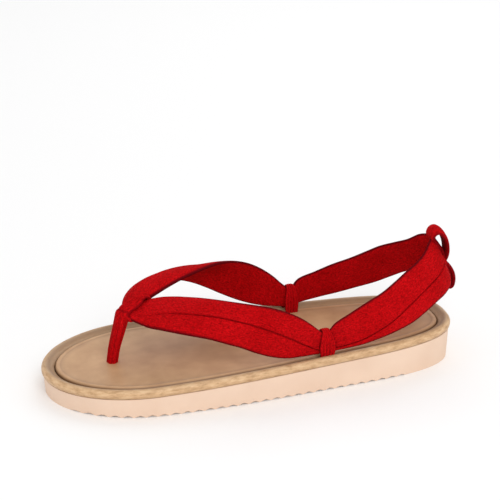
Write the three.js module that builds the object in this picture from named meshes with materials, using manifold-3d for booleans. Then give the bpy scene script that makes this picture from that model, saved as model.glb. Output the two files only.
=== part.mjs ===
// Thong sandal with a flat wedge sole, padded cloth straps and a heel bow.
// Millimetres. +X runs to the toe, +Y to the side shown, +Z up.
// The origin lies under the middle of the sole, on the plane of the tread.
import * as THREE from 'three';
import { mergeVertices } from 'three/addons/utils/BufferGeometryUtils.js';
import Module from 'manifold-3d';

const wasm = await Module();
wasm.setup();

// Fit between pieces
const GAP = 0.3;
const WELD = 1e-5;
const CUT_PAST = 1;

// Sole outline
const SOLE_LENGTH = 245;
const BALL_HALF_WIDTH = 48;
const HEEL_HALF_WIDTH = 35.1;
const FLARE_START = 0.03;
const FLARE_END = 0.706;
const TOE_CAP = 0.246;
const TOE_ROUNDNESS = 1.98;
const HEEL_CAP = 0.272;
const HEEL_ROUNDNESS = 2.6;
const OUTLINE_STEPS = 30;

// Foam wedge and its rippled tread
const FOAM_HEEL = 18.7;
const FOAM_TOE = 10.2;
const RIB_PITCH = 6.7;
const GROOVE_DEPTH = 1.1;
const GROOVE_MOUTH = 3.4;
const GROOVE_FLOOR = 1.6;
const FIRST_GROOVE = -13;
const LAST_GROOVE = 16;
const FOAM_DRAFT = 0.8;

// Edge roll, as points out from the foam's side and up from the foam's top
const ROLL_INNER = -5.9;
const ROLL_SECTION = [
  { out: ROLL_INNER, up: GAP },
  { out: 0, up: GAP },
  { out: 1.3, up: 1.1 },
  { out: 1.9, up: 2.6 },
  { out: 1.5, up: 4.2 },
  { out: 0.3, up: 5.3 },
  { out: -0.7, up: 5.6 },
  { out: -1.8, up: 5.3 },
  { out: -3.5, up: 4.1 },
  { out: ROLL_INNER, up: 2.5 },
];

// Insole panel with its raised inner fold
const INSOLE_EDGE = ROLL_INNER - GAP;
const INSOLE_TOP = 3.6;
const INSOLE_RIM = [
  { out: INSOLE_EDGE, up: GAP },
  { out: INSOLE_EDGE, up: 3 },
  { out: INSOLE_EDGE - 0.5, up: 3.9 },
  { out: INSOLE_EDGE - 1.2, up: 4.1 },
  { out: INSOLE_EDGE - 2.2, up: 4.1 },
  { out: INSOLE_EDGE - 3.6, up: INSOLE_TOP },
];

// Straps, a row for each section. top and low are the band's edges, thick its padding,
// crown how far it arches across, crease where its seam runs: 0 midway, -1 at the lower edge.
const TOE_JOINT = { top: [61.5, 0, 50.4], low: [77, 0, 44.2], thick: 4.8, crown: 0.5, crease: -0.8 };
const NEAR_INSTEP = [
  { top: [57.3, 1.8, 52.2], low: [74.2, 5, 42.8], thick: 4.8, crown: 0.8, crease: -0.75 },
  { top: [52.3, 4.1, 53.6], low: [68.8, 13, 41.9], thick: 4.6, crown: 1, crease: -0.56 },
  { top: [46.5, 7.8, 54.7], low: [64.3, 18.5, 41.4], thick: 4.4, crown: 1.2, crease: -0.34 },
  { top: [41.7, 11, 55.2], low: [59.7, 24, 42], thick: 4.4, crown: 1.4, crease: -0.21 },
  { top: [34.1, 16, 55.8], low: [52.4, 30, 41.8], thick: 4.4, crown: 1.6, crease: -0.12 },
  { top: [26.8, 22, 56.4], low: [43.7, 35, 40.9], thick: 4.4, crown: 1.6, crease: -0.03 },
  { top: [20.5, 26.8, 56.6], low: [34.1, 38, 39], thick: 4.4, crown: 1.6, crease: 0.05 },
  { top: [13.2, 31.5, 56.4], low: [25.8, 40, 36.3], thick: 4.4, crown: 1.4, crease: 0.1 },
  { top: [4.5, 34.5, 55.2], low: [17.2, 41, 33.2], thick: 4.4, crown: 1.2, crease: 0.1 },
  { top: [-4.5, 35.8, 52.9], low: [8.6, 41.5, 29.2], thick: 4.4, crown: 1, crease: 0.07 },
  { top: [-13, 36, 49.3], low: [-0.4, 41, 25.4], thick: 4.4, crown: 1, crease: 0.03 },
  { top: [-20.5, 35.8, 45], low: [-10.4, 40, 22.7], thick: 4.4, crown: 0.8, crease: -0.07 },
  { top: [-27, 35.5, 40], low: [-21, 38.4, 21.9], thick: 4.6, crown: 0.5, crease: -0.3 },
  { top: [-32, 35.3, 35.6], low: [-30.5, 36.7, 21.6], thick: 4.9, crown: 0.2, crease: -0.6 },
];
const FAR_INSTEP = [
  { top: [58.3, -1.2, 52.4], low: [75.4, -6, 45], thick: 4.8, crown: 1, crease: -0.75 },
  { top: [54.8, -2.1, 53.6], low: [73.8, -11.5, 46.5], thick: 4.6, crown: 2, crease: -0.56 },
  { top: [50, -4.2, 55], low: [71, -17, 47.8], thick: 4.4, crown: 3, crease: -0.34 },
  { top: [45.1, -6.5, 56.2], low: [66.5, -21.5, 49.2], thick: 4.4, crown: 3.5, crease: -0.21 },
  { top: [39.6, -9.5, 57.2], low: [60, -25.5, 50], thick: 4.4, crown: 3.6, crease: -0.12 },
  { top: [32.7, -13, 58.2], low: [52.5, -29, 50], thick: 4.4, crown: 3.4, crease: -0.03 },
  { top: [25.7, -16.5, 59], low: [43.5, -33, 48.8], thick: 4.4, crown: 2.9, crease: 0.05 },
  { top: [18.5, -20.2, 59.6], low: [34, -36, 46.6], thick: 4.4, crown: 2.2, crease: 0.1 },
  { top: [10.5, -24.4, 59.4], low: [25, -38.5, 42.8], thick: 4.4, crown: 2, crease: 0.1 },
  { top: [1.5, -28.6, 57.8], low: [15.5, -40, 37.6], thick: 4.4, crown: 1.6, crease: 0.07 },
  { top: [-7.8, -32, 54.4], low: [5.5, -40.8, 31.8], thick: 4.4, crown: 1.2, crease: 0.03 },
  { top: [-16.5, -34, 49.4], low: [-5.8, -40.4, 26.4], thick: 4.4, crown: 1, crease: -0.07 },
  { top: [-24.5, -35, 43.2], low: [-17.5, -39, 22.8], thick: 4.6, crown: 0.6, crease: -0.3 },
  { top: [-31, -35.2, 36.8], low: [-28.8, -37, 21.7], thick: 4.9, crown: 0.2, crease: -0.6 },
];
// From a side loop to the centre back, alike on both sides
const HEEL_BAND = [
  { top: [-36.2, 35, 33.4], low: [-36.2, 35.6, 21.7], thick: 5.2, crown: 0, crease: -0.6 },
  { top: [-41.5, 35.2, 39.3], low: [-43.3, 37.2, 22.8], thick: 4.8, crown: 0.2, crease: -0.74 },
  { top: [-51.3, 33.2, 43.6], low: [-56, 38, 24.5], thick: 4.3, crown: 0.5, crease: -0.72 },
  { top: [-61.4, 31.2, 48], low: [-67.5, 37, 26.5], thick: 4.2, crown: 0.8, crease: -0.6 },
  { top: [-72.2, 28.4, 52.1], low: [-78.6, 35.5, 29.1], thick: 4.2, crown: 1, crease: -0.44 },
  { top: [-81.2, 25.2, 56.6], low: [-90.2, 32.8, 32.4], thick: 4.2, crown: 1, crease: -0.25 },
  { top: [-88.8, 22, 60.6], low: [-99.2, 29.6, 36.4], thick: 4.2, crown: 1, crease: -0.19 },
  { top: [-96.2, 18, 63.5], low: [-108, 25.6, 40.6], thick: 4.2, crown: 1, crease: -0.15 },
  { top: [-103, 13, 66.8], low: [-115.6, 20, 42.8], thick: 4.2, crown: 1, crease: -0.13 },
  { top: [-108.2, 7.8, 71.4], low: [-121.6, 12.5, 45], thick: 4.2, crown: 0.8, crease: -0.12 },
  { top: [-111.8, 3, 73.2], low: [-122.6, 5, 47], thick: 4, crown: 0.4, crease: -0.15 },
];
const BACK_JOINT = { top: [-113, 0, 73.4], low: [-122, 0, 48.6], thick: 3.8, crown: 0.2, crease: -0.2 };
const STRAP_STEPS_PER_ROW = 2;
const CURVE_TENSION = 0.5;
const CREASE_DEPTH = 0.9;
const CREASE_SPREAD = 0.07;
const CREASE_FADE_ROWS = 5;
const EDGE_FULLNESS = 4;
const BACK_FULLNESS = 0.8;
const OUTER_PLACES = [-1, -0.95, -0.8, -0.45, -0.12, 0, 0.12, 0.45, 0.8, 0.95, 1];
const INNER_PLACES = [0.88, 0.45, 0, -0.45, -0.88];

// Toe thong: a sleeve round the joint of the straps, on a post down to the sole
const THONG_WRAP = [
  { x: 79.2, z: 43.2, wide: 11.4, shift: 2.4 },
  { x: 79.2, z: 45.4, wide: 9.6, shift: 1.6 },
  { x: 77.6, z: 47.4, wide: 9.2, shift: 1.6 },
  { x: 74.8, z: 49.6, wide: 9.6, shift: 1.7 },
  { x: 70.6, z: 51.9, wide: 9.2, shift: 1.4 },
  { x: 66.6, z: 53.5, wide: 7.6, shift: 0.4 },
  { x: 63.2, z: 54.2, wide: 6.4, shift: -0.2 },
  { x: 60.9, z: 52.4, wide: 6.2, shift: -0.2 },
  { x: 60.6, z: 48.8, wide: 6.6, shift: 0 },
  { x: 64, z: 46.2, wide: 7.4, shift: 0.4 },
  { x: 70, z: 43.2, wide: 8.4, shift: 1 },
  { x: 75.4, z: 41.4, wide: 9, shift: 1.4 },
];
const WRAP_BEND = { back: 0.13, down: 0 };
const WRAP_THICK = 2.4;
const POST_ROWS = [
  { x: 84, z: 5.5, deep: 6, wide: 7.4 },
  { x: 83.5, z: 12, deep: 6.4, wide: 7.8 },
  { x: 81.6, z: 24, deep: 6.8, wide: 8.4 },
  { x: 78.6, z: 35, deep: 7.6, wide: 9.2 },
  { x: 76.2, z: 42, deep: 8.4, wide: 10 },
];
const POST_SIDES = 14;

// Side loops that hold the straps down to the sole
const LOOP_X = -35.6;
const LOOP_ROWS = [
  { y: 36.2, z: 8.5, wide: 6 },
  { y: 37, z: 15.5, wide: 8 },
  { y: 39, z: 20.4, wide: 10.2 },
  { y: 39.9, z: 25.6, wide: 9.8 },
  { y: 39.3, z: 30.8, wide: 7.8 },
  { y: 37.4, z: 34.3, wide: 5.6 },
  { y: 34.4, z: 35.3, wide: 5.2 },
  { y: 31.7, z: 33.2, wide: 6.6 },
  { y: 30.4, z: 27.5, wide: 8.6 },
  { y: 30.5, z: 20, wide: 8 },
  { y: 30.9, z: 8.5, wide: 6 },
];
const LOOP_THICK = 2.2;
const LOOP_STEPS = 22;

// Heel bow: a knot, a loop that stands and a loop that hangs
const KNOT_SIDES = 16;
const KNOT_RINGS = 10;
const KNOT = { x: -121.2, z: 56.2, deep: 2.8, wide: 5.6, tall: 4.4 };
const UPPER_LOOP = [
  { x: -119.2, z: 61, wide: 8, shift: 0.2 },
  { x: -116.4, z: 66.4, wide: 10, shift: 0.6 },
  { x: -114, z: 70.8, wide: 11.4, shift: 0.8 },
  { x: -112.9, z: 74.2, wide: 11.8, shift: 1 },
  { x: -113.4, z: 76.8, wide: 11.8, shift: 1.2 },
  { x: -115.8, z: 77.6, wide: 11.8, shift: 1.4 },
  { x: -119, z: 76, wide: 11.8, shift: 1.4 },
  { x: -121.9, z: 72, wide: 11.4, shift: 1.4 },
  { x: -123.2, z: 67, wide: 10, shift: 1.2 },
  { x: -122.9, z: 62, wide: 9, shift: 0.8 },
  { x: -121.6, z: 57.4, wide: 7, shift: 0 },
];
const LOWER_LOOP = [
  { x: -121.8, z: 55.2, wide: 7, shift: 0 },
  { x: -124.6, z: 52.6, wide: 8.4, shift: 0 },
  { x: -127, z: 48.4, wide: 9, shift: 0 },
  { x: -127.8, z: 44, wide: 9, shift: 0 },
  { x: -127, z: 40.2, wide: 9, shift: 0 },
  { x: -125.2, z: 39.6, wide: 9, shift: 0 },
  { x: -124.8, z: 42.8, wide: 9, shift: 0 },
  { x: -124.9, z: 47, wide: 9, shift: 0 },
  { x: -123.6, z: 51.2, wide: 8, shift: 0 },
];
const BOW_BEND = { back: 0, down: 0.002 };
const BOW_THICK = 1.6;
const RIBBON_STEPS = 26;
const RIBBON_FOLD = 0.45;

// Looks of the real materials
const FOAM = new THREE.MeshStandardMaterial({ color: 0xf0d0b8, roughness: 0.85, metalness: 0 });
const EDGING = new THREE.MeshStandardMaterial({ color: 0xd6af82, roughness: 0.6, metalness: 0 });
const PANEL = new THREE.MeshStandardMaterial({ color: 0xcfa678, roughness: 0.65, metalness: 0 });
const CLOTH = new THREE.MeshStandardMaterial({ color: 0xbe0c12, roughness: 0.9, metalness: 0 });

const clamp01 = (value) => Math.min(1, Math.max(0, value));
const smoothstep = (value) => value * value * (3 - 2 * value);
const foamTop = (x) => FOAM_HEEL + (FOAM_TOE - FOAM_HEEL) * (x / SOLE_LENGTH + 0.5);

// Half the foam's width at a share of its length, from 0 at the heel to 1 at the toe
function halfWidth(share) {
  const flare = smoothstep(clamp01((share - FLARE_START) / (FLARE_END - FLARE_START)));
  const body = HEEL_HALF_WIDTH + (BALL_HALF_WIDTH - HEEL_HALF_WIDTH) * flare;
  const toe = clamp01((share - (1 - TOE_CAP)) / TOE_CAP);
  const heel = clamp01((HEEL_CAP - share) / HEEL_CAP);
  const toeCurve = Math.pow(1 - Math.pow(toe, TOE_ROUNDNESS), 1 / TOE_ROUNDNESS);
  const heelCurve = Math.pow(1 - Math.pow(heel, HEEL_ROUNDNESS), 1 / HEEL_ROUNDNESS);
  return body * toeCurve * heelCurve;
}

// The sole's outline, counter-clockwise from the heel, moved outwards by a distance
function outline(out) {
  const side = [];
  for (let step = 0; step <= OUTLINE_STEPS; step += 1) {
    const share = 0.5 - 0.5 * Math.cos((Math.PI * step) / OUTLINE_STEPS);
    side.push(new THREE.Vector2((share - 0.5) * SOLE_LENGTH, -halfWidth(share)));
  }
  const back = side.slice(1, -1).reverse().map((point) => new THREE.Vector2(point.x, -point.y));
  const loop = [...side, ...back];
  return loop.map((point, index) => {
    const before = loop[(index + loop.length - 1) % loop.length];
    const after = loop[(index + 1) % loop.length];
    const along = after.clone().sub(before).normalize();
    return new THREE.Vector2(point.x + along.y * out, point.y - along.x * out);
  });
}

// A closed body through rings of equally many points, capped at both ends or joined end to end
function skin(rings, joined = false) {
  const count = rings[0].length;
  const positions = rings.flat().flatMap((point) => [point.x, point.y, point.z]);
  const faces = [];
  const spans = joined ? rings.length : rings.length - 1;
  for (let ring = 0; ring < spans; ring += 1) {
    const here = ring * count;
    const next = ((ring + 1) % rings.length) * count;
    for (let place = 0; place < count; place += 1) {
      const beside = (place + 1) % count;
      faces.push(here + place, here + beside, next + beside);
      faces.push(here + place, next + beside, next + place);
    }
  }
  if (!joined) {
    const last = (rings.length - 1) * count;
    for (let place = 1; place < count - 1; place += 1) {
      faces.push(0, place + 1, place);
      faces.push(last, last + place, last + place + 1);
    }
  }
  const geometry = new THREE.BufferGeometry();
  geometry.setAttribute('position', new THREE.Float32BufferAttribute(positions, 3));
  geometry.setIndex(faces);
  return geometry;
}

// A three.js geometry as a solid, turned right side out if its faces point in
function solid(geometry) {
  const bare = geometry.index ? geometry.clone() : mergeVertices(geometry);
  bare.deleteAttribute('normal');
  bare.deleteAttribute('uv');
  const merged = mergeVertices(bare, WELD);
  const vertProperties = new Float32Array(merged.attributes.position.array);
  const triVerts = new Uint32Array(merged.index.array);
  if (enclosed(vertProperties, triVerts) < 0) {
    for (let corner = 0; corner < triVerts.length; corner += 3) {
      const swap = triVerts[corner + 1];
      triVerts[corner + 1] = triVerts[corner + 2];
      triVerts[corner + 2] = swap;
    }
  }
  return new wasm.Manifold(new wasm.Mesh({ numProp: 3, vertProperties, triVerts }));
}

// Six times the volume that the triangles enclose, positive when they face outwards
function enclosed(vertices, triangles) {
  const corner = (index) => new THREE.Vector3().fromArray(vertices, triangles[index] * 3);
  let sum = 0;
  for (let index = 0; index < triangles.length; index += 3) {
    sum += corner(index).dot(corner(index + 1).cross(corner(index + 2)));
  }
  return sum;
}

function mesh(name, body, material) {
  const shape = body.getMesh();
  const geometry = new THREE.BufferGeometry();
  geometry.setAttribute('position', new THREE.BufferAttribute(shape.vertProperties, 3));
  geometry.setIndex(new THREE.BufferAttribute(shape.triVerts, 1));
  geometry.computeVertexNormals();
  const node = new THREE.Mesh(geometry, material);
  node.name = name;
  return node;
}

// Rings that follow the sole's outline, one for each point of a section
const edgeRings = (section) => section.map(({ out, up }) =>
  outline(out).map((point) => new THREE.Vector3(point.x, point.y, foamTop(point.x) + up)));

function foamBody() {
  const bottom = outline(0).map((point) => new THREE.Vector3(point.x, point.y, 0));
  const top = outline(FOAM_DRAFT).map((point) => new THREE.Vector3(point.x, point.y, foamTop(point.x)));
  return solid(skin([bottom, top]));
}

// One groove of the tread, a bar of trapezium section laid across the sole
function groove(x) {
  const reach = 2 * (BALL_HALF_WIDTH + CUT_PAST);
  const section = new THREE.Shape();
  section.moveTo(-GROOVE_MOUTH / 2, -CUT_PAST);
  section.lineTo(GROOVE_MOUTH / 2, -CUT_PAST);
  section.lineTo(GROOVE_MOUTH / 2, 0);
  section.lineTo(GROOVE_FLOOR / 2, GROOVE_DEPTH);
  section.lineTo(-GROOVE_FLOOR / 2, GROOVE_DEPTH);
  section.lineTo(-GROOVE_MOUTH / 2, 0);
  const bar = new THREE.ExtrudeGeometry(section, { depth: reach, bevelEnabled: false });
  bar.rotateX(Math.PI / 2);
  bar.translate(x, reach / 2, 0);
  return solid(bar);
}

// The strap's section at one station, from its two edges
function strapSection(top, low, outward, { thick, crown, crease, depth }) {
  const middle = top.clone().add(low).multiplyScalar(0.5);
  const halfSpan = top.clone().sub(low).multiplyScalar(0.5);
  const shifted = (place) => crease + place * (place >= 0 ? 1 - crease : 1 + crease);
  const bulge = (place) => Math.sqrt(1 - Math.pow(Math.abs(place), EDGE_FULLNESS)) * thick / 2;
  const at = (place, height) => middle.clone()
    .addScaledVector(halfSpan, place)
    .addScaledVector(outward, height + crown * (1 - place * place));
  const outer = OUTER_PLACES.map((place) => {
    const spot = shifted(place);
    const trough = depth * Math.exp(-Math.pow(place / CREASE_SPREAD, 2));
    return at(spot, bulge(spot) - trough);
  });
  const inner = INNER_PLACES.map((place) => at(place, -bulge(place) * BACK_FULLNESS));
  return [...outer, ...inner];
}

const mirrored = (row) => ({
  ...row,
  top: [row.top[0], -row.top[1], row.top[2]],
  low: [row.low[0], -row.low[1], row.low[2]],
});

// Both straps as one endless band, joined at the toe and at the centre back
function strapBody(grow) {
  const rows = [
    TOE_JOINT,
    ...NEAR_INSTEP,
    ...HEEL_BAND,
    BACK_JOINT,
    ...HEEL_BAND.map(mirrored).reverse(),
    ...[...FAR_INSTEP].reverse(),
  ];
  const through = (pick) =>
    new THREE.CatmullRomCurve3(rows.map((row) => new THREE.Vector3(...pick(row))), true, 'catmullrom', CURVE_TENSION);
  const topEdge = through((row) => row.top);
  const lowEdge = through((row) => row.low);
  const sizes = through((row) => [row.thick, row.crown, row.crease]);
  const stations = rows.length * STRAP_STEPS_PER_ROW;
  const middleAt = (share) => {
    const wrapped = (share + 1) % 1;
    return topEdge.getPoint(wrapped).add(lowEdge.getPoint(wrapped)).multiplyScalar(0.5);
  };
  const rings = [];
  for (let station = 0; station < stations; station += 1) {
    const share = station / stations;
    const top = topEdge.getPoint(share);
    const low = lowEdge.getPoint(share);
    const size = sizes.getPoint(share);
    const rowsFromToe = Math.min(share, 1 - share) * rows.length;
    const along = middleAt(share + 0.5 / stations).sub(middleAt(share - 0.5 / stations));
    const across = top.clone().sub(low).normalize();
    const outward = along.cross(across).normalize();
    top.addScaledVector(across, grow);
    low.addScaledVector(across, -grow);
    rings.push(strapSection(top, low, outward, {
      thick: size.x + 2 * grow,
      crown: size.y,
      crease: size.z,
      depth: CREASE_DEPTH * smoothstep(clamp01(rowsFromToe / CREASE_FADE_ROWS)),
    }));
  }
  return solid(skin(rings, true));
}

// A flat ribbon that closes on itself round an axis along Y, its sides bent back and down
function ribbonRing(rows, thick, { back, down }) {
  const path = new THREE.CatmullRomCurve3(
    rows.map((row) => new THREE.Vector3(row.x, row.wide, row.z)), true, 'centripetal');
  const shifts = new THREE.CatmullRomCurve3(
    rows.map((row) => new THREE.Vector3(row.x, row.shift, row.z)), true, 'centripetal');
  const rings = [];
  for (let step = 0; step < RIBBON_STEPS; step += 1) {
    const spot = path.getPoint(step / RIBBON_STEPS);
    const tangent = path.getTangent(step / RIBBON_STEPS);
    const outward = new THREE.Vector3(tangent.z, 0, -tangent.x).normalize();
    const centre = new THREE.Vector3(spot.x, shifts.getPoint(step / RIBBON_STEPS).y, spot.z);
    const section = ribbonSection(centre, outward, new THREE.Vector3(0, 1, 0), spot.y, thick);
    rings.push(section.map((point) =>
      new THREE.Vector3(point.x - back * point.y ** 2, point.y, point.z - down * point.y ** 2)));
  }
  return solid(skin(rings, true));
}

// A ribbon's section: flat faces with folded, rounded edges
function ribbonSection(centre, outward, across, width, thick) {
  const fold = thick * RIBBON_FOLD;
  const flat = width / 2 - fold;
  const corners = [
    [-flat, thick / 2], [flat, thick / 2], [width / 2, 0],
    [flat, -thick / 2], [-flat, -thick / 2], [-width / 2, 0],
  ];
  return corners.map(([side, height]) =>
    centre.clone().addScaledVector(across, side).addScaledVector(outward, height));
}

// An upright soft post of oval section
function thongPost(grow) {
  const path = new THREE.CatmullRomCurve3(POST_ROWS.map((row) => new THREE.Vector3(row.x, 0, row.z)));
  const rings = POST_ROWS.map((row, index) => {
    const tangent = path.getTangent(index / (POST_ROWS.length - 1));
    const forward = new THREE.Vector3(tangent.z, 0, -tangent.x);
    const centre = new THREE.Vector3(row.x, 0, row.z);
    return Array.from({ length: POST_SIDES }, (_, side) => {
      const turn = (2 * Math.PI * side) / POST_SIDES;
      return centre.clone()
        .addScaledVector(forward, (row.deep / 2 + grow) * Math.cos(turn))
        .addScaledVector(new THREE.Vector3(0, 1, 0), (row.wide / 2 + grow) * Math.sin(turn));
    });
  });
  return solid(skin(rings));
}

// One side loop, an arch of folded cloth with both legs let into the sole
function sideLoop(side, grow) {
  const path = new THREE.CatmullRomCurve3(
    LOOP_ROWS.map((row) => new THREE.Vector3(row.wide, side * row.y, row.z)), false, 'centripetal');
  const rings = [];
  for (let step = 0; step <= LOOP_STEPS; step += 1) {
    const spot = path.getPoint(step / LOOP_STEPS);
    const tangent = path.getTangent(step / LOOP_STEPS);
    const outward = new THREE.Vector3(0, tangent.z, -tangent.y).normalize();
    const centre = new THREE.Vector3(LOOP_X, spot.y, spot.z);
    const across = new THREE.Vector3(1, 0, 0);
    rings.push(ribbonSection(centre, outward, across, spot.x + 2 * grow, LOOP_THICK + 2 * grow));
  }
  return solid(skin(rings));
}

function knotBody() {
  const ball = new THREE.SphereGeometry(1, KNOT_SIDES, KNOT_RINGS);
  ball.scale(KNOT.deep, KNOT.wide, KNOT.tall);
  ball.translate(KNOT.x, 0, KNOT.z);
  return solid(ball);
}

const strapsGrown = strapBody(GAP);
const post = thongPost(0);
const postSpace = thongPost(GAP);
const loopSpaces = sideLoop(1, GAP).add(sideLoop(-1, GAP));

const grooves = Array.from({ length: LAST_GROOVE - FIRST_GROOVE + 1 }, (_, index) =>
  groove((index + FIRST_GROOVE + 0.5) * RIB_PITCH));
let outsole = foamBody().subtract(postSpace).subtract(loopSpaces);
for (const bar of grooves) {
  outsole = outsole.subtract(bar);
}

const insole = solid(skin(edgeRings(INSOLE_RIM))).subtract(postSpace).subtract(loopSpaces);
const edgeRoll = solid(skin(edgeRings(ROLL_SECTION), true)).subtract(loopSpaces);

const toeThong = ribbonRing(THONG_WRAP, WRAP_THICK, WRAP_BEND).add(post).subtract(strapsGrown);
const bow = knotBody()
  .add(ribbonRing(UPPER_LOOP, BOW_THICK, BOW_BEND))
  .add(ribbonRing(LOWER_LOOP, BOW_THICK, BOW_BEND))
  .subtract(strapsGrown);

const sandal = new THREE.Group();
sandal.add(
  mesh('outsole', outsole, FOAM),
  mesh('insole', insole, PANEL),
  mesh('edge_roll', edgeRoll, EDGING),
  mesh('straps', strapBody(0), CLOTH),
  mesh('toe_thong', toeThong, CLOTH),
  mesh('side_loop_near', sideLoop(1, 0).subtract(strapsGrown), CLOTH),
  mesh('side_loop_far', sideLoop(-1, 0).subtract(strapsGrown), CLOTH),
  mesh('heel_bow', bow, CLOTH),
);

export default sandal;
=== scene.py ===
import math

import bmesh
import bpy
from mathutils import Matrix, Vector


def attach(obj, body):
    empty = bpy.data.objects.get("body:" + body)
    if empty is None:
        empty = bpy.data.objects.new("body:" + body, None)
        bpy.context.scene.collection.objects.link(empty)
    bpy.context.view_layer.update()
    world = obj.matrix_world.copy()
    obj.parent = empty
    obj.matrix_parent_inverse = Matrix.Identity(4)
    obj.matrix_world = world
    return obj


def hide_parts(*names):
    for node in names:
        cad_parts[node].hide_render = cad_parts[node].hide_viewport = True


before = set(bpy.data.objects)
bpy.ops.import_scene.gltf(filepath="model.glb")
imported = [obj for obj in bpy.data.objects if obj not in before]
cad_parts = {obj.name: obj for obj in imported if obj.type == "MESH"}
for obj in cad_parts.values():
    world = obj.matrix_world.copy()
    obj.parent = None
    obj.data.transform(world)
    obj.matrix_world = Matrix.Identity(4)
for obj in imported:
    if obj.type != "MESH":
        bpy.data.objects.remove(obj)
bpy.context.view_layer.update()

# Millimetres in the tables below, metres in the finished meshes
MM = 0.001

# Sole outline and wedge
SOLE_LENGTH = 245
BALL_HALF_WIDTH = 48
HEEL_HALF_WIDTH = 35.1
FLARE_START = 0.03
FLARE_END = 0.706
TOE_CAP = 0.246
TOE_ROUNDNESS = 1.98
HEEL_CAP = 0.272
HEEL_ROUNDNESS = 2.6
FOAM_HEEL = 18.7
FOAM_TOE = 10.2
RIB_PITCH = 6.7
RIB_DEPTH = 1.1
RIB_SHARPNESS = 0.75
RIB_FADES = ((-92, -80), (118, 104))
FOAM_DRAFT = 0.8
DRAFT_LIMIT = 20
SOLE_STATIONS = 720
SOLE_ACROSS = 14
FOAM_SHARP_ANGLE = 40
OUTLINE_REACH = 0.0015

# Edge roll: a section out from the foam's side and up from its top, with painted shade in its seam and on
# its inner slope
ROLL_SECTION = [
    # out, up, painted shade
    (-5.9, 0.3, 1), (-3.6, 0.2, 1), (-1.6, 0.2, 1), (0.2, 0.1, 0.6), (1.0, 0.3, 0.34), (1.55, 1.1, 0.2),
    (1.85, 2.1, 0.08), (1.85, 3.2, 0), (1.55, 4.1, 0), (1.0, 4.85, 0.08), (0.2, 5.4, 0.25), (-0.7, 5.6, 0.5),
    (-1.6, 5.4, 0.7),
    (-2.5, 4.9, 0.8), (-3.4, 4.2, 0.72), (-4.3, 3.6, 0.62), (-5.2, 3.1, 0.7), (-5.9, 2.4, 0.9),
]
ROLL_STATIONS = 520

# Insole: the fold at its edge and the panel inside it, with painted shade in the groove at its edge and in
# the dip inside the fold
INSOLE_STATIONS = 360
INSOLE_OUT = -6.2
INSOLE_SECTION = [
    # in, up, painted shade
    (0, 0.3, 1), (0, 2.6, 1), (0.15, 3.3, 0.75), (0.5, 3.8, 0.22), (1.1, 4.1, 0), (1.9, 4.1, 0),
    (2.6, 3.95, 0.15), (3.1, 3.75, 0.42), (3.7, 3.65, 0.25), (6, 3.6, 0.05), (14, 3.5, 0),
]

# Straps, a row for each section: the upper edge, the lower edge, padding, crown and seam place
TOE_JOINT = ((61.5, 0, 50.4), (77, 0, 44.2), 4.8, 0.5, -0.8)
NEAR_INSTEP = [
    ((57.3, 1.8, 52.2), (74.2, 5, 42.8), 4.8, 0.8, -0.75),
    ((52.3, 4.1, 53.6), (68.8, 13, 41.9), 4.6, 1, -0.56),
    ((46.5, 7.8, 54.7), (64.3, 18.5, 41.4), 4.4, 1.2, -0.34),
    ((41.7, 11, 55.2), (59.7, 24, 42), 4.4, 1.4, -0.21),
    ((34.1, 16, 55.8), (52.4, 30, 41.8), 4.4, 1.6, -0.12),
    ((26.8, 22, 56.4), (43.7, 35, 40.9), 4.4, 1.6, -0.03),
    ((20.5, 26.8, 56.6), (34.1, 38, 39), 4.4, 1.6, 0.05),
    ((13.2, 31.5, 56.4), (25.8, 40, 36.3), 4.4, 1.4, 0.1),
    ((4.5, 34.5, 55.2), (17.2, 41, 33.2), 4.4, 1.2, 0.1),
    ((-4.5, 35.8, 52.9), (8.6, 41.5, 29.2), 4.4, 1, 0.07),
    ((-13, 36, 49.3), (-0.4, 41, 25.4), 4.4, 1, 0.03),
    ((-20.5, 35.8, 45), (-10.4, 40, 22.7), 4.4, 0.8, -0.07),
    ((-27, 35.5, 40), (-21, 38.4, 21.9), 4.6, 0.5, -0.3),
    ((-32, 35.3, 35.6), (-30.5, 36.7, 21.6), 4.9, 0.2, -0.6),
]
FAR_INSTEP = [
    ((58.3, -1.2, 52.4), (75.4, -6, 45), 4.8, 1, -0.75),
    ((54.8, -2.1, 53.6), (73.8, -11.5, 46.5), 4.6, 2, -0.56),
    ((50, -4.2, 55), (71, -17, 47.8), 4.4, 3, -0.34),
    ((45.1, -6.5, 56.2), (66.5, -21.5, 49.2), 4.4, 3.5, -0.21),
    ((39.6, -9.5, 57.2), (60, -25.5, 50), 4.4, 3.6, -0.12),
    ((32.7, -13, 58.2), (52.5, -29, 50), 4.4, 3.4, -0.03),
    ((25.7, -16.5, 59), (43.5, -33, 48.8), 4.4, 2.9, 0.05),
    ((18.5, -20.2, 59.6), (34, -36, 46.6), 4.4, 2.2, 0.1),
    ((10.5, -24.4, 59.4), (25, -38.5, 42.8), 4.4, 2, 0.1),
    ((1.5, -28.6, 57.8), (15.5, -40, 37.6), 4.4, 1.6, 0.07),
    ((-7.8, -32, 54.4), (5.5, -40.8, 31.8), 4.4, 1.2, 0.03),
    ((-16.5, -34, 49.4), (-5.8, -40.4, 26.4), 4.4, 1, -0.07),
    ((-24.5, -35, 43.2), (-17.5, -39, 22.8), 4.6, 0.6, -0.3),
    ((-31, -35.2, 36.8), (-28.8, -37, 21.7), 4.9, 0.2, -0.6),
]
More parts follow.
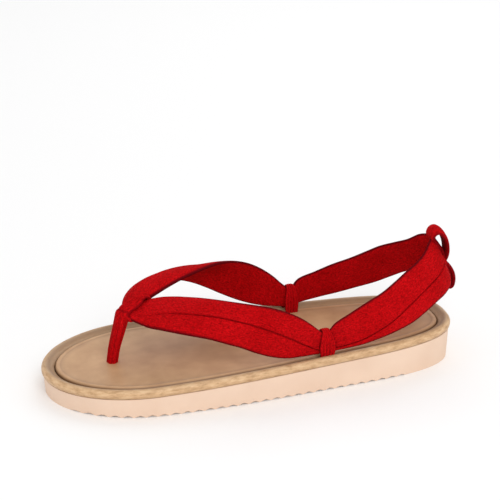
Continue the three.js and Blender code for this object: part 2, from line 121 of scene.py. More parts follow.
HEEL_BAND = [
    ((-36.2, 35, 33.4), (-36.2, 35.6, 21.7), 5.2, 0, -0.6),
    ((-41.5, 35.2, 39.3), (-43.3, 37.2, 22.8), 4.8, 0.2, -0.74),
    ((-51.3, 33.2, 43.6), (-56, 38, 24.5), 4.3, 0.5, -0.72),
    ((-61.4, 31.2, 48), (-67.5, 37, 26.5), 4.2, 0.8, -0.6),
    ((-72.2, 28.4, 52.1), (-78.6, 35.5, 29.1), 4.2, 1, -0.44),
    ((-81.2, 25.2, 56.6), (-90.2, 32.8, 32.4), 4.2, 1, -0.25),
    ((-88.8, 22, 60.6), (-99.2, 29.6, 36.4), 4.2, 1, -0.19),
    ((-96.2, 18, 63.5), (-108, 25.6, 40.6), 4.2, 1, -0.15),
    ((-103, 13, 66.8), (-115.6, 20, 42.8), 4.2, 1, -0.13),
    ((-108.2, 7.8, 71.4), (-121.6, 12.5, 45), 4.2, 0.8, -0.12),
    ((-111.8, 3, 73.2), (-122.6, 5, 47), 4, 0.4, -0.15),
]
BACK_JOINT = ((-113, 0, 73.4), (-122, 0, 48.6), 3.8, 0.2, -0.2)
STRAP_STEPS = 12
# Places across a band, from -1 at the lower edge to 1 at the upper, or from the seam to an edge
EDGE_PLACES = (-1, -0.99, -0.97, -0.93, -0.87, -0.78, -0.66, -0.52, -0.38, -0.26, -0.18, -0.13)
SEAM_PLACES = (-0.095, -0.07, -0.05, -0.035, -0.02, -0.008, 0.004, 0.02, 0.04, 0.065, 0.09)
BACK_PLACES = (0.97, 0.9, 0.75, 0.55, 0.35, 0.15, 0, -0.15, -0.35, -0.55, -0.75, -0.9, -0.97)
SEAM_DEPTH = 0.9
SEAM_SPREAD = 0.03
SEAM_FADE_ROWS = 6
LAP_HEIGHT = 0.5
LAP_PLACE = 0.07
LAP_SPREAD = 0.05
# Painted shade at a band's turned edges, in its seam and in its gathers
STRAP_EDGE_FROM = 0.9
STRAP_EDGE_TO = 0.97
EDGE_SHADE = 0.9
SEAM_SHADE = 0.44
GATHER_SHADE = 0.5
STRAP_GATHERS = [
    # place, depth, spread
    (-0.62, 0.5, 0.1), (-0.3, 0.7, 0.09), (0.08, 0.6, 0.09), (0.36, 0.7, 0.09), (0.7, 0.5, 0.1),
]
GATHER_REACH = 12
TOE_GATHER = 0.45
TOE_GATHER_X = 68
BACK_FULLNESS = 0.8
EDGE_FULLNESS = 4

# Toe thong: a gathered sleeve round the joint, and the post below it
WRAP_ROWS = [
    # x, z, width across, shift
    (79.2, 43.2, 11.4, 2.4), (79.2, 45.4, 9.6, 1.6), (77.6, 47.4, 9.2, 1.6), (74.8, 49.6, 9.6, 1.7),
    (70.6, 51.9, 9.2, 1.4), (66.6, 53.5, 7.6, 0.4), (63.2, 54.2, 6.4, -0.2), (60.9, 52.4, 6.2, -0.2),
    (60.6, 48.8, 6.6, 0), (64, 46.2, 7.4, 0.4), (70, 43.2, 8.4, 1), (75.4, 41.4, 9, 1.4),
]
WRAP_THICK = 2.4
WRAP_BEND = (0.13, 0)
WRAP_STEPS = 130
# A crease across the wrap: its place along the loop, depth and spread; it also adds painted shade
WRAP_CREASE = (0.15, 0.42, 0.022)
WRAP_PLEATS = [
    # place, depth, spread
    (-0.66, 0.45, 0.07), (-0.34, 0.6, 0.06), (0.02, 0.55, 0.06), (0.34, 0.65, 0.06), (0.66, 0.5, 0.07),
]
POST_ROWS = [
    # x, z, depth, width
    (84, 5.5, 6, 7.4), (83.5, 12, 6.4, 7.8), (81.6, 24, 6.8, 8.4), (78.6, 35, 7.6, 9.2), (76.4, 43, 8.4, 10),
]
POST_STEPS = 60
POST_SIDES = 56
POST_FOLDS = 7
POST_FOLD = 0.04
POST_TWIST = 2.4
# Painted shade in the post's fold hollows
POST_FOLD_SHADE = 0.35

# Side loops
LOOP_X = -35.6
LOOP_ROWS = [
    # y, z, width, pleating
    (36.2, 8.5, 6, 0.6), (37, 15.5, 7, 1), (39, 20.4, 8.2, 1), (39.9, 25.6, 9.8, 0.9),
    (39.3, 30.8, 8.4, 0.6), (37.4, 34.3, 5.6, 0.4), (34.4, 35.3, 5.2, 0.4), (31.7, 33.2, 6.6, 0.6),
    (30.4, 27.5, 8.6, 0.9),
    (30.5, 20, 8, 1), (30.9, 8.5, 6, 0.6),
]
LOOP_THICK = 2.2
LOOP_STEPS = 100
LOOP_REACH = 0.4
# Painted shade on the loops' back faces
LOOP_BACK_SHADE = 0.2
LOOP_PLEATS = [
    # place, depth, spread
    (-0.62, 0.6, 0.11), (-0.22, 1, 0.1), (0.18, 0.9, 0.1), (0.58, 0.7, 0.11),
]

# Heel bow
# The knot's x, z, depth, half width and half height
KNOT = (-120.6, 56, 2.7, 5.6, 4.2)
KNOT_SEGMENTS = 48
KNOT_RINGS = 32
UPPER_LOOP = [
    # x, z, width, shift
    (-120.2, 62, 8, 0.2), (-117, 67, 10, 0.6), (-114.2, 70.8, 11.8, 0.9), (-112.3, 74.2, 12.2, 1.1),
    (-113.4, 77.2, 12.2, 1.3), (-115.8, 78, 12.2, 1.5), (-118.5, 75.9, 12, 1.5), (-120.9, 72, 11.4, 1.4),
    (-122.3, 67, 10, 1.2), (-122.5, 62, 9, 0.8), (-121.6, 57.4, 7, 0),
]
LOWER_LOOP = [
    # x, z, width, shift
    (-121.8, 55.2, 7, 0), (-124.6, 52.6, 8.4, 0), (-127, 48.4, 9, 0), (-127.8, 44, 9, 0), (-127, 40.2, 9, 0),
    (-125.2, 39.6, 9, 0), (-124.8, 42.8, 9, 0), (-124.9, 47, 9, 0), (-123.6, 51.2, 8, 0),
]
BOW_THICK = 3
BOW_BEND = (0, 0.035)
BOW_STEPS = 110
BOW_PLEATS = [(-0.4, 0.35, 0.1), (0.3, 0.45, 0.09)]
# Painted shade on the standing loop's inner face and over the whole hanging loop
STANDING_INNER_SHADE = 0.62
HANGING_SHADE = 0.62

# Ribbons of the bow, the wrap and the side loops, with painted shade in their folds and at their rounded
# edges
RIBBON_SIDES = 72
RIBBON_FULLNESS = 3
RIBBON_REACH = 0.25
RIBBON_FOLD_SHADE = 0.35
RIBBON_BACK_FOLD = 0.4
RIBBON_EDGE_FROM = 0.84
RIBBON_EDGE_TO = 0.98
RIBBON_EDGE_SHADE = 0.6

# Vertices closer than this are one
WELD = 0.002

# Foam: tones and pores
FOAM_TONES = [(0.3, (0.80, 0.58, 0.435)), (0.7, (0.86, 0.645, 0.495))]
FOAM_ROUGHNESS = 0.78
FOAM_CLOUD = 26
FOAM_PORE = 0.55
FOAM_BUMP = (0.18, 0.00012)

# Edging: tones, mottle, wrinkles and grain, and the dark tone and mottled strength of its painted shade
EDGING_TONES = [(0.34, (0.46, 0.262, 0.12)), (0.5, (0.66, 0.41, 0.215)), (0.66, (0.78, 0.53, 0.30))]
EDGING_DARK = (0.19, 0.105, 0.055, 1)
EDGING_ROUGHNESS = 0.46
EDGING_MOTTLE = (0.14, 0.45, 1)
EDGING_WRINKLE = (0.12, 0.8, 1)
EDGING_GRAIN = 0.9
EDGING_GRAIN_SHARE = 0.5
EDGING_FOLD_PLAIN = 0.45
EDGING_FOLD_MOTTLED = 0.9
EDGING_BUMP = (0.5, 0.0005)

# Panel: tones, partly darkened as painted shade, and grain, and the dark tone and strength of the painted
# shade at its edge
PANEL_TONES = [(0.3, (0.47, 0.265, 0.13)), (0.7, (0.57, 0.34, 0.175))]
PANEL_DARK = (0.15, 0.07, 0.03, 1)
PANEL_ROUGHNESS = 0.5
PANEL_MOTTLE = 11
PANEL_GRAIN = 0.8
PANEL_FOLD = 0.85
PANEL_BUMP = (0.22, 0.0002)

# Cloth: tones, crinkle and thread, the painted shade and painted highlight that follow the crinkle, and the
# dark tone of its painted shade
CLOTH_TONES = [(0.3, (0.42, 0.0012, 0.0026)), (0.7, (0.51, 0.0024, 0.0044))]
CLOTH_CRINKLE_SHADE_AND_HIGHLIGHT = [(0.34, (0.5, 0.4, 0.42)), (0.5, (0.95, 0.95, 0.95)), (0.66, (1.4, 1.7, 1.7))]
CLOTH_DARK = (0.075, 0.0006, 0.003, 1)
CLOTH_ROUGHNESS = 0.9
CLOTH_SPECULAR = 0.05
CLOTH_CLOUD = 16
CLOTH_CRINKLE = 0.9
CLOTH_THREAD = (0.4, 1.5, 1)
CLOTH_THREAD_SHARE = 0.5
CLOTH_BUMP = (0.8, 0.0008)

# Floor, lights and sky, in metres and watts
FLOOR_SIZE = 6
FLOOR_TONE = (0.955, 0.955, 0.955, 1)
FLOOR_ROUGHNESS = 0.9
LIGHTS = [
    # name, place, size, power
    ("key", (0.05, 1.3, 1.1), 0.8, 9.3), ("back", (-0.5, -0.9, 1.2), 1.2, 5),
]
LIGHT_AIM = (0, 0, 0.03)
SKY_TONE = (1, 1, 1, 1)
SKY_STRENGTH = 0.75

# The photograph's camera, in millimetres and degrees
CAMERA_AT = (252.99, 886.79, 433.66)
CAMERA_AZIMUTH = 164.061
CAMERA_ELEVATION = 21.218
CAMERA_LENS = 122.4
CAMERA_SENSOR = 36


def clamp01(value):
    return min(1.0, max(0.0, value))


def smoothstep(value):
    value = clamp01(value)
    return value * value * (3 - 2 * value)


def rise_between(value, start, end):
    """A soft rise from 0 to 1 between two values."""
    return smoothstep((value - start) / (end - start))


def foam_top(x):
    return FOAM_HEEL + (FOAM_TOE - FOAM_HEEL) * (x / SOLE_LENGTH + 0.5)


def half_width(share):
    flare = rise_between(share, FLARE_START, FLARE_END)
    body = HEEL_HALF_WIDTH + (BALL_HALF_WIDTH - HEEL_HALF_WIDTH) * flare
    toe = clamp01((share - (1 - TOE_CAP)) / TOE_CAP)
    heel = clamp01((HEEL_CAP - share) / HEEL_CAP)
    toe_curve = max(0.0, 1 - toe ** TOE_ROUNDNESS) ** (1 / TOE_ROUNDNESS)
    heel_curve = max(0.0, 1 - heel ** HEEL_ROUNDNESS) ** (1 / HEEL_ROUNDNESS)
    return body * toe_curve * heel_curve


def even_share(part):
    """A share of the sole's length that crowds towards both rounded ends."""
    return 0.5 - 0.5 * math.cos(math.pi * part)


def outline_point(turn):
    """A point of the outline and its outward direction, turn going once round from 0 at the heel to 1."""
    def at(value):
        value = value % 1.0
        side = -1 if value < 0.5 else 1
        share = even_share(2 * value)
        return Vector(((share - 0.5) * SOLE_LENGTH, side * half_width(share), 0))
    here = at(turn)
    ahead = at(turn + OUTLINE_REACH) - at(turn - OUTLINE_REACH)
    ahead.normalize()
    return here, Vector((ahead.y, -ahead.x, 0))


def curve_through(points, closed):
    """A smooth curve through the points, read by a share from 0 to 1."""
    count = len(points)
    spans = count if closed else count - 1

    def at(share):
        place = (share % 1.0 if closed else clamp01(share)) * spans
        index = min(int(place), spans - 1)
        part = place - index
        if closed:
            near = [points[(index + step) % count] for step in (-1, 0, 1, 2)]
        else:
            near = [points[min(max(index + step, 0), count - 1)] for step in (-1, 0, 1, 2)]
        before, start, end, after = (Vector(point) for point in near)
        rise = (end - before) * 0.5
        fall = (after - start) * 0.5
        square = part * part
        cube = square * part
        return (start * (2 * cube - 3 * square + 1) + rise * (cube - 2 * square + part)
                + end * (3 * square - 2 * cube) + fall * (cube - square))
    return at


def put_ring(ring, points):
    for vert, point in zip(ring, points):
        vert.co = point


def ring_edges(ring):
    known = set(ring)
    edges = [edge for vert in ring for edge in vert.link_edges if all(end in known for end in edge.verts)]
    return list(dict.fromkeys(edges))


def next_ring(bm, ring):
    """Extrudes a ring of vertices and returns the new ring in the same order."""
    made = bmesh.ops.extrude_edge_only(bm, edges=ring_edges(ring))
    fresh = {item for item in made["geom"] if isinstance(item, bmesh.types.BMVert)}
    return [next(edge.other_vert(vert) for edge in vert.link_edges if edge.other_vert(vert) in fresh)
            for vert in ring]


def sweep(sections, closed):
    """A body through sections of equally many points and shades, joined end to end or capped."""
    bm = bmesh.new()
    ring_layer = bm.verts.layers.int.new("ring")
    side_layer = bm.verts.layers.int.new("side")
    shade_layer = bm.verts.layers.float.new("shade")
    bm.loops.layers.uv.new("weave")
    paths = [[point for point, shade in section] for section in sections]
    ring = bmesh.ops.create_circle(bm, segments=len(paths[0]), radius=1)["verts"]
    put_ring(ring, paths[0])
    rings = [ring]
    for points in paths[1:]:
        ring = next_ring(bm, ring)
        put_ring(ring, points)
        rings.append(ring)
    for row, ring in enumerate(rings):
        for side, vert in enumerate(ring):
            vert[ring_layer] = row
            vert[side_layer] = side
            vert[shade_layer] = sections[row][side][1]
    if closed:
        bmesh.ops.bridge_loops(bm, edges=ring_edges(rings[0]) + ring_edges(rings[-1]))
    else:
        for ring in (rings[0], rings[-1]):
            bmesh.ops.contextual_create(bm, geom=ring_edges(ring))
    middles = [sum(points, Vector()) / len(points) for points in paths]
    girths = [distances(points) for points in paths]
    add_uv(bm, distances(middles), girths, ring_layer, side_layer)
    return bm


def add_uv(bm, lengths, girths, ring_layer, side_layer):
    """Lays a UV map in millimetres along and round a swept body."""
    uv = bm.loops.layers.uv["weave"]
    rows = len(lengths) - 1
    sides = len(girths[0]) - 1
    for face in bm.faces:
        ring_values = [loop.vert[ring_layer] for loop in face.loops]
        side_values = [loop.vert[side_layer] for loop in face.loops]
        for loop, row, side in zip(face.loops, ring_values, side_values):
            turned_row = row == 0 and max(ring_values) > 1
            turned_side = side == 0 and max(side_values) > 1
            loop[uv].uv = (lengths[rows if turned_row else row], girths[row][sides if turned_side else side])


def distances(points):
    """How far along a closed line of points each one lies, with the whole length at the end."""
    line = [*points, points[0]]
    total = 0.0
    found = [0.0]
    for start, end in zip(line, line[1:]):
        total += (end - start).length
        found.append(total)
    return found


def finish_piece(bm, name, nodes, material, sharp=0):
    """Turns a mesh in millimetres into a piece that rides on the root and replaces its CAD nodes."""
    bmesh.ops.remove_doubles(bm, verts=bm.verts, dist=WELD)
    bmesh.ops.recalc_face_normals(bm, faces=bm.faces)
    bmesh.ops.scale(bm, vec=(MM, MM, MM), verts=bm.verts)
    mesh = bpy.data.meshes.new(name)
    bm.to_mesh(mesh)
    bm.free()
    mesh.shade_smooth()
    if sharp:
        mesh.set_sharp_from_angle(angle=math.radians(sharp))
    piece = bpy.data.objects.new(name, mesh)
    bpy.context.scene.collection.objects.link(piece)
    mesh.materials.append(material)
    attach(piece, "root")
    if nodes:
        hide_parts(*nodes)
    return piece


class Value:
    """A shader socket that adds Math nodes when it is reckoned with."""

    def __init__(self, maker, socket):
        self.maker = maker
        self.socket = socket

    def _math(self, operation, *values):
        return self.maker.node("ShaderNodeMath", {"operation": operation}, dict(enumerate(values)))[0]

    def __add__(self, other):
        return self._math("ADD", self, other)

    def __radd__(self, other):
        return self._math("ADD", other, self)

    def __mul__(self, other):
        return self._math("MULTIPLY", self, other)

    def __rmul__(self, other):
        return self._math("MULTIPLY", other, self)


class Finish:
    """One material with its shader, built node by node."""

    def __init__(self, name, roughness, **settings):
        self.material = bpy.data.materials.new(name)
        self.material.use_nodes = True
        self.tree = self.material.node_tree
        self.shader = next(node for node in self.tree.nodes if node.type == "BSDF_PRINCIPLED")
        self.shader.inputs["Roughness"].default_value = roughness
        for socket, value in settings.items():
            self.shader.inputs[socket.replace("_", " ")].default_value = value

    def node(self, kind, settings, inputs):
        made = self.tree.nodes.new(kind)
        for key, value in settings.items():
            if key == "stops":
                self.set_stops(made.color_ramp, value)
            else:
                setattr(made, key, value)
        for key, value in inputs.items():
            if isinstance(value, Value):
                self.tree.links.new(value.socket, made.inputs[key])
            else:
                made.inputs[key].default_value = value
        return [Value(self, socket) for socket in made.outputs]

    def set_stops(self, ramp, stops):
        while len(ramp.elements) < len(stops):
            ramp.elements.new(0.5)
        for element, (place, colour) in zip(ramp.elements, stops):
            element.position = place
            element.color = (*colour, 1)

    def feed(self, socket, value):
        self.tree.links.new(value.socket, self.shader.inputs[socket])

    def place(self):
        """Object coordinates in millimetres."""
        coords = self.node("ShaderNodeTexCoord", {}, {})
        return self.node("ShaderNodeMapping", {}, {"Vector": coords[3], "Scale": (1 / MM,) * 3})[0]

    def woven_place(self, scale):
        """The piece's own UV map in millimetres along and round it, stretched by a scale."""
        coords = self.node("ShaderNodeUVMap", {"uv_map": "weave"}, {})
        return self.node("ShaderNodeMapping", {}, {"Vector": coords[0], "Scale": scale})[0]

    def noise(self, place, size, detail, roughness=0.5):
        inputs = {"Vector": place, "Scale": 1 / size, "Detail": detail, "Roughness": roughness}
        return self.node("ShaderNodeTexNoise", {}, inputs)[0]

    def ramp(self, factor, stops):
        return self.node("ShaderNodeValToRGB", {"stops": stops}, {"Fac": factor})[0]

    def mix(self, factor, first, second, blend="MIX"):
        return self.node("ShaderNodeMix", {"data_type": "RGBA", "blend_type": blend},
                         {0: factor, 6: first, 7: second})[2]

    def shade(self):
        """The painted shade laid on the piece's own points."""
        return self.node("ShaderNodeAttribute", {"attribute_name": "shade"}, {})[2]

    def bump(self, height, strength, distance):
        inputs = {"Height": height, "Strength": strength, "Distance": distance}
        self.feed("Normal", self.node("ShaderNodeBump", {}, inputs)[0])


def foam_finish():
    """Peach EVA foam, matte with very fine pores."""
    finish = Finish("peach_foam", FOAM_ROUGHNESS)
    place = finish.place()
    cloud = finish.noise(place, FOAM_CLOUD, 2)
    pores = finish.noise(place, FOAM_PORE, 2)
    finish.feed("Base Color", finish.ramp(cloud, FOAM_TONES))
    finish.bump(pores, *FOAM_BUMP)
    return finish.material


def edging_finish():
    """Tan leatherette, mottled and softly wrinkled lengthwise, with mottled painted shade in its folds."""
    finish = Finish("tan_edging", EDGING_ROUGHNESS)
    mottle = finish.noise(finish.woven_place(EDGING_MOTTLE), 1, 4, 0.7)
    wrinkle = finish.noise(finish.woven_place(EDGING_WRINKLE), 1, 3, 0.6)
    grain = finish.noise(finish.place(), EDGING_GRAIN, 3)
    # painted shade, mottled, darkens the seam and the inner slope
    painted_fold_shade = finish.shade() * (EDGING_FOLD_PLAIN + EDGING_FOLD_MOTTLED * mottle)
    finish.feed("Base Color", finish.mix(painted_fold_shade, finish.ramp(mottle, EDGING_TONES), EDGING_DARK))
    finish.bump(grain * EDGING_GRAIN_SHARE + wrinkle, *EDGING_BUMP)
    return finish.material


def panel_finish():
    """Tan leatherette panel, a little darker than its edging, partly its own tone and partly painted shade,
    with painted shade at its edge fold.
    """
    finish = Finish("tan_panel", PANEL_ROUGHNESS)
    place = finish.place()
    mottle = finish.noise(place, PANEL_MOTTLE, 3)
    grain = finish.noise(place, PANEL_GRAIN, 3)
    tone = finish.ramp(mottle, PANEL_TONES)
    # painted shade at the edge fold darkens the tone
    finish.feed("Base Color", finish.mix(finish.shade() * PANEL_FOLD, tone, PANEL_DARK))
    finish.bump(grain, *PANEL_BUMP)
    return finish.material


def cloth_finish():
    """Red crepe cloth with a fine crinkle, with painted shade in the crinkle's hollows and painted highlight
    on its crests, and painted shade at its turned edges and in its folds.
    """
    finish = Finish("red_crepe", CLOTH_ROUGHNESS, Specular_IOR_Level=CLOTH_SPECULAR)
    place = finish.place()
    crinkle = finish.noise(place, CLOTH_CRINKLE, 2, 0.6)
    thread = finish.noise(finish.woven_place(CLOTH_THREAD), 1, 2, 0.6)
    cloud = finish.noise(place, CLOTH_CLOUD, 2)
    relief = crinkle * (1 - CLOTH_THREAD_SHARE) + thread * CLOTH_THREAD_SHARE
    # painted shade in the crinkle's hollows and painted highlight on its crests
    crinkle_shaded_tone = finish.mix(1.0, finish.ramp(cloud, CLOTH_TONES), finish.ramp(relief, CLOTH_CRINKLE_SHADE_AND_HIGHLIGHT), "MULTIPLY")
    # painted shade at the turned edges and in the folds
    finish.feed("Base Color", finish.mix(finish.shade(), crinkle_shaded_tone, CLOTH_DARK))
    finish.bump(relief, *CLOTH_BUMP)
    return finish.material


def ripple(x):
    """How far a tread groove rises at a place along the sole: ribs stand on the floor, grooves between."""
    wave = 0.5 - 0.5 * math.cos(2 * math.pi * x / RIB_PITCH)
    fade = 1
    for flat, full in RIB_FADES:
        fade *= rise_between(x, flat, full)
    return RIB_DEPTH * wave ** RIB_SHARPNESS * fade


def sole_grid():
    """A flat grid laid on the sole's outline, finer towards both rounded ends."""
    bm = bmesh.new()
    bmesh.ops.create_grid(bm, x_segments=SOLE_STATIONS, y_segments=SOLE_ACROSS, size=1)
    for vert in bm.verts:
        share = even_share((vert.co.x + 1) / 2)
        vert.co = ((share - 0.5) * SOLE_LENGTH, vert.co.y * half_width(share), 0)
    return bm


def make_outsole():
    bm = sole_grid()
    bottom = list(bm.verts)
    made = bmesh.ops.extrude_face_region(bm, geom=bm.faces[:])
    top = [item for item in made["geom"] if isinstance(item, bmesh.types.BMVert)]
    for vert in bottom:
        vert.co.z = ripple(vert.co.x)
    for vert in top:
        stretch = 1 + 2 * FOAM_DRAFT / SOLE_LENGTH
        widen = 1 + FOAM_DRAFT / max(half_width(vert.co.x / SOLE_LENGTH + 0.5), DRAFT_LIMIT)
        vert.co = (vert.co.x * stretch, vert.co.y * widen, foam_top(vert.co.x))
    finish_piece(bm, "foam_outsole", ["outsole"], foam_finish(), FOAM_SHARP_ANGLE)


def make_roll():
    sections = []
    for step in range(ROLL_STATIONS):
        here, outward = outline_point(step / ROLL_STATIONS)
        base = here + Vector((0, 0, foam_top(here.x)))
        section = [(base + outward * out + Vector((0, 0, up)), shade) for out, up, shade in ROLL_SECTION]
        sections.append(section)
    finish_piece(sweep(sections, True), "rolled_edging", ["edge_roll"], edging_finish())


def make_insole():
    rows = [outline_point(step / INSOLE_STATIONS) for step in range(INSOLE_STATIONS)]
    sections = []
    for inward, up, shade in INSOLE_SECTION:
        ring = []
        for here, outward in rows:
            spot = here + outward * (INSOLE_OUT - inward)
            ring.append((Vector((spot.x, spot.y, foam_top(spot.x) + up)), shade))
        sections.append(ring)
    finish_piece(sweep(sections, False), "insole_panel", ["insole"], panel_finish())


def mirrored(row):
    top, low, *sizes = row
    return ((top[0], -top[1], top[2]), (low[0], -low[1], low[2]), *sizes)


def bell(value, middle, spread):
    return math.exp(-((value - middle) / spread) ** 2)


def trough(places, place):
    """How deep the soft creases of a table are at a place across the cloth."""
    return sum(depth * bell(place, middle, spread) for middle, depth, spread in places)


def strap_section(top, low, outward, thick, crown, seam, seam_depth, gather):
    """A padded band's section: a lapped seam and gathers on the front, flatter at the back, with painted
    shade at its edges, in its seam and in its gathers.
    """
    middle = (top + low) * 0.5
    half = (top - low) * 0.5

    def bulge(place):
        return max(0.0, 1 - abs(place) ** EDGE_FULLNESS) ** 0.5 * thick / 2

    def at(place, height):
        return middle + half * place + outward * (height + crown * (1 - place * place))

    def edge(place):
        return EDGE_SHADE * rise_between(abs(place), STRAP_EDGE_FROM, STRAP_EDGE_TO)

    points = []
    for place in (*EDGE_PLACES, *SEAM_PLACES, *(-value for value in reversed(EDGE_PLACES))):
        spot = seam + place * ((1 - seam) if place >= 0 else (1 + seam))
        line = bell(place, 0, SEAM_SPREAD) * seam_depth
        lap = LAP_HEIGHT * bell(place, LAP_PLACE, LAP_SPREAD) * seam_depth if place > 0 else 0
        fold = trough(STRAP_GATHERS, spot) * gather
        # painted shade at the edges, in the seam and in the gathers
        shade = clamp01(edge(spot) + SEAM_SHADE * line + GATHER_SHADE * fold)
        points.append((at(spot, bulge(spot) - SEAM_DEPTH * line + lap - fold), shade))
    points += [(at(place, -bulge(place) * BACK_FULLNESS), edge(place)) for place in BACK_PLACES]
    return points


def make_straps():
    rows = [TOE_JOINT, *NEAR_INSTEP, *HEEL_BAND, BACK_JOINT]
    rows += [mirrored(row) for row in reversed(HEEL_BAND)]
    rows += list(reversed(FAR_INSTEP))
    top_edge = curve_through([row[0] for row in rows], True)
    low_edge = curve_through([row[1] for row in rows], True)
    sizes = curve_through([row[2:] for row in rows], True)
    stations = len(rows) * STRAP_STEPS
    sections = []
    for station in range(stations):
        share = station / stations
        top = top_edge(share)
        low = low_edge(share)
        thick, crown, seam = sizes(share)
        ahead, behind = share + 0.5 / stations, share - 0.5 / stations
        along = top_edge(ahead) + low_edge(ahead) - top_edge(behind) - low_edge(behind)
        outward = along.cross(top - low).normalized()
        middle = (top + low) * 0.5
        seam_depth = smoothstep(min(share, 1 - share) * len(rows) / SEAM_FADE_ROWS)
        gather = bell(middle.x, LOOP_X, GATHER_REACH)
        gather += TOE_GATHER * bell(middle.x, TOE_GATHER_X, GATHER_REACH)
        sections.append(strap_section(top, low, outward, thick, crown, seam, seam_depth, gather))
    piece = finish_piece(sweep(sections, True), "padded_straps", ["straps"], CLOTH)


def ribbon_section(centre, outward, across, width, thick, pleats, strength, front_shade, back_shade):
    """A ribbon's section, creased on its outer face, with painted shade at its rounded edges, in its creases
    and on each face as given.
    """
    points = []
    for side in range(RIBBON_SIDES):
        place = -math.cos(2 * math.pi * side / RIBBON_SIDES)
        front = side <= RIBBON_SIDES / 2
        bulge = max(0.0, 1 - abs(place) ** RIBBON_FULLNESS) ** 0.5 * thick / 2
        fold = trough(pleats, place) * strength
        height = bulge - fold if front else RIBBON_BACK_FOLD * fold - bulge
        edge = RIBBON_EDGE_SHADE * rise_between(abs(place), RIBBON_EDGE_FROM, RIBBON_EDGE_TO)
        face = front_shade + RIBBON_FOLD_SHADE * fold if front else back_shade
        # painted shade: the darker of the edge's and the face's
        shade = clamp01(max(edge, face))
        points.append((centre + across * (place * width / 2) + outward * height, shade))
    return points


def looped_ribbon(rows, thick, steps, pleats, bend=(0, 0), crease=(0, 0, 1), front_shade=0, back_shade=0):
    """A soft ribbon whose path lies in the XZ plane and closes on itself, its sides bent back and down."""
    path = curve_through([(x, wide, z) for x, z, wide, shift in rows], True)
    shifts = curve_through([(shift, 0, 0) for x, z, wide, shift in rows], True)
    droop = Vector((bend[0], 0, bend[1]))
    sections = []
    for step in range(steps):
        share = step / steps
        spot = path(share)
        ahead = path(share + RIBBON_REACH / steps) - path(share - RIBBON_REACH / steps)
        outward = Vector((ahead.z, 0, -ahead.x)).normalized()
        centre = Vector((spot.x, shifts(share).x, spot.z))
        # the crease pinches the ribbon in and adds as much painted shade to its front
        pinch = trough([crease], share)
        section = ribbon_section(centre - outward * pinch, outward, Vector((0, 1, 0)), spot.y, thick, pleats,
                                 1, front_shade + pinch, back_shade)
        sections.append([(point - droop * point.y ** 2, shade) for point, shade in section])
    return sweep(sections, True)


def make_thong():
    wrap = looped_ribbon(WRAP_ROWS, WRAP_THICK, WRAP_STEPS, WRAP_PLEATS, WRAP_BEND, WRAP_CREASE)
    finish_piece(wrap, "thong_wrap", ["toe_thong"], CLOTH)
    path = curve_through([(x, deep, z) for x, z, deep, wide in POST_ROWS], False)
    widths = curve_through([(wide, 0, 0) for x, z, deep, wide in POST_ROWS], False)
    sections = []
    for step in range(POST_STEPS + 1):
        share = step / POST_STEPS
        spot = path(share)
        ahead = path(share + 0.5 / POST_STEPS) - path(share - 0.5 / POST_STEPS)
        forward = Vector((ahead.z, 0, -ahead.x)).normalized()
        ring = []
        for side in range(POST_SIDES):
            turn = 2 * math.pi * side / POST_SIDES
            wave = math.cos(POST_FOLDS * turn + POST_TWIST * share)
            fold = (1 + POST_FOLD * wave) / 2
            side_step = Vector((0, widths(share).x * fold * math.sin(turn), 0))
            point = Vector((spot.x, 0, spot.z)) + forward * (spot.y * fold * math.cos(turn)) + side_step
            # painted shade in the folds' hollows
            ring.append((point, POST_FOLD_SHADE * clamp01(-wave) ** 2))
        sections.append(ring)
    finish_piece(sweep(sections, False), "thong_post", [], CLOTH)


def make_side_loop(side, name, node):
    path = curve_through([(wide, side * y, z) for y, z, wide, pleating in LOOP_ROWS], False)
    pleating = curve_through([(amount, 0, 0) for y, z, wide, amount in LOOP_ROWS], False)
    sections = []
    for step in range(LOOP_STEPS + 1):
        share = step / LOOP_STEPS
        spot = path(share)
        ahead = path(share + LOOP_REACH / LOOP_STEPS) - path(share - LOOP_REACH / LOOP_STEPS)
        outward = Vector((0, ahead.z, -ahead.y)).normalized() * side
        centre = Vector((LOOP_X, spot.y, spot.z))
        sections.append(ribbon_section(centre, outward, Vector((1, 0, 0)), spot.x, LOOP_THICK, LOOP_PLEATS,
                                       pleating(share).x, 0, LOOP_BACK_SHADE))
    finish_piece(sweep(sections, False), name, [node], CLOTH)


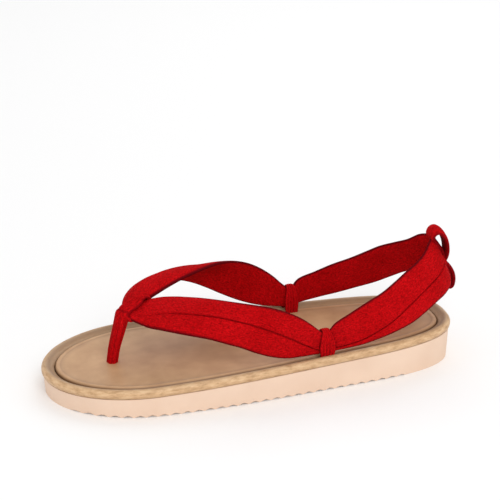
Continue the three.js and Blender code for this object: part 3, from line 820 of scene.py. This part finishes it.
def make_bow():
    x, z, deep, wide, tall = KNOT
    bm = bmesh.new()
    shade = bm.verts.layers.float.new("shade")
    weave = bm.loops.layers.uv.new("weave")
    bmesh.ops.create_uvsphere(bm, u_segments=KNOT_SEGMENTS, v_segments=KNOT_RINGS, radius=1)
    for vert in bm.verts:
        # painted shade in the knot's folds
        fold = trough(WRAP_PLEATS, vert.co.y)
        vert[shade] = clamp01(fold)
        vert.co = Vector((x + vert.co.x * (deep - fold), vert.co.y * wide, z + vert.co.z * tall))
    for face in bm.faces:
        for loop in face.loops:
            loop[weave].uv = (loop.vert.co.z, loop.vert.co.y)
    finish_piece(bm, "bow_knot", ["heel_bow"], CLOTH)
    upper = looped_ribbon(UPPER_LOOP, BOW_THICK, BOW_STEPS, BOW_PLEATS, BOW_BEND,
                          back_shade=STANDING_INNER_SHADE)
    finish_piece(upper, "bow_standing_loop", [], CLOTH)
    lower = looped_ribbon(LOWER_LOOP, BOW_THICK, BOW_STEPS, BOW_PLEATS, front_shade=HANGING_SHADE,
                          back_shade=HANGING_SHADE)
    finish_piece(lower, "bow_hanging_loop", [], CLOTH)


def make_floor():
    mesh = bpy.data.meshes.new("floor")
    bm = bmesh.new()
    bmesh.ops.create_grid(bm, x_segments=1, y_segments=1, size=FLOOR_SIZE)
    bm.to_mesh(mesh)
    bm.free()
    floor = bpy.data.objects.new("floor", mesh)
    bpy.context.scene.collection.objects.link(floor)
    mesh.materials.append(Finish("pale_floor", FLOOR_ROUGHNESS, Base_Color=FLOOR_TONE).material)


def make_light(name, place, size, power):
    data = bpy.data.lights.new(name, "AREA")
    data.energy = power
    data.size = size
    light = bpy.data.objects.new(name, data)
    bpy.context.scene.collection.objects.link(light)
    light.location = place
    direction = Vector(LIGHT_AIM) - Vector(place)
    light.rotation_euler = direction.to_track_quat("-Z", "Y").to_euler()


def make_studio():
    """A white, even surround and two soft lights."""
    scene = bpy.context.scene
    scene.view_settings.view_transform = "Standard"
    world = scene.world or bpy.data.worlds.new("studio")
    scene.world = world
    world.use_nodes = True
    sky = world.node_tree.nodes["Background"]
    sky.inputs["Color"].default_value = SKY_TONE
    sky.inputs["Strength"].default_value = SKY_STRENGTH
    for light in LIGHTS:
        make_light(*light)


def make_camera():
    data = bpy.data.cameras.new("camera")
    data.sensor_width = CAMERA_SENSOR
    data.lens = CAMERA_LENS
    camera = bpy.data.objects.new("camera", data)
    bpy.context.scene.collection.objects.link(camera)
    azimuth = math.radians(CAMERA_AZIMUTH)
    elevation = math.radians(CAMERA_ELEVATION)
    level = math.cos(elevation)
    back = Vector((math.sin(azimuth) * level, -math.cos(azimuth) * level, math.sin(elevation)))
    camera.location = Vector(CAMERA_AT) * MM
    camera.rotation_euler = (-back).to_track_quat("-Z", "Y").to_euler()
    bpy.context.scene.camera = camera


CLOTH = cloth_finish()
make_outsole()
make_roll()
make_insole()
make_straps()
make_thong()
make_side_loop(1, "near_side_loop", "side_loop_near")
make_side_loop(-1, "far_side_loop", "side_loop_far")
make_bow()
make_floor()
make_studio()
make_camera()
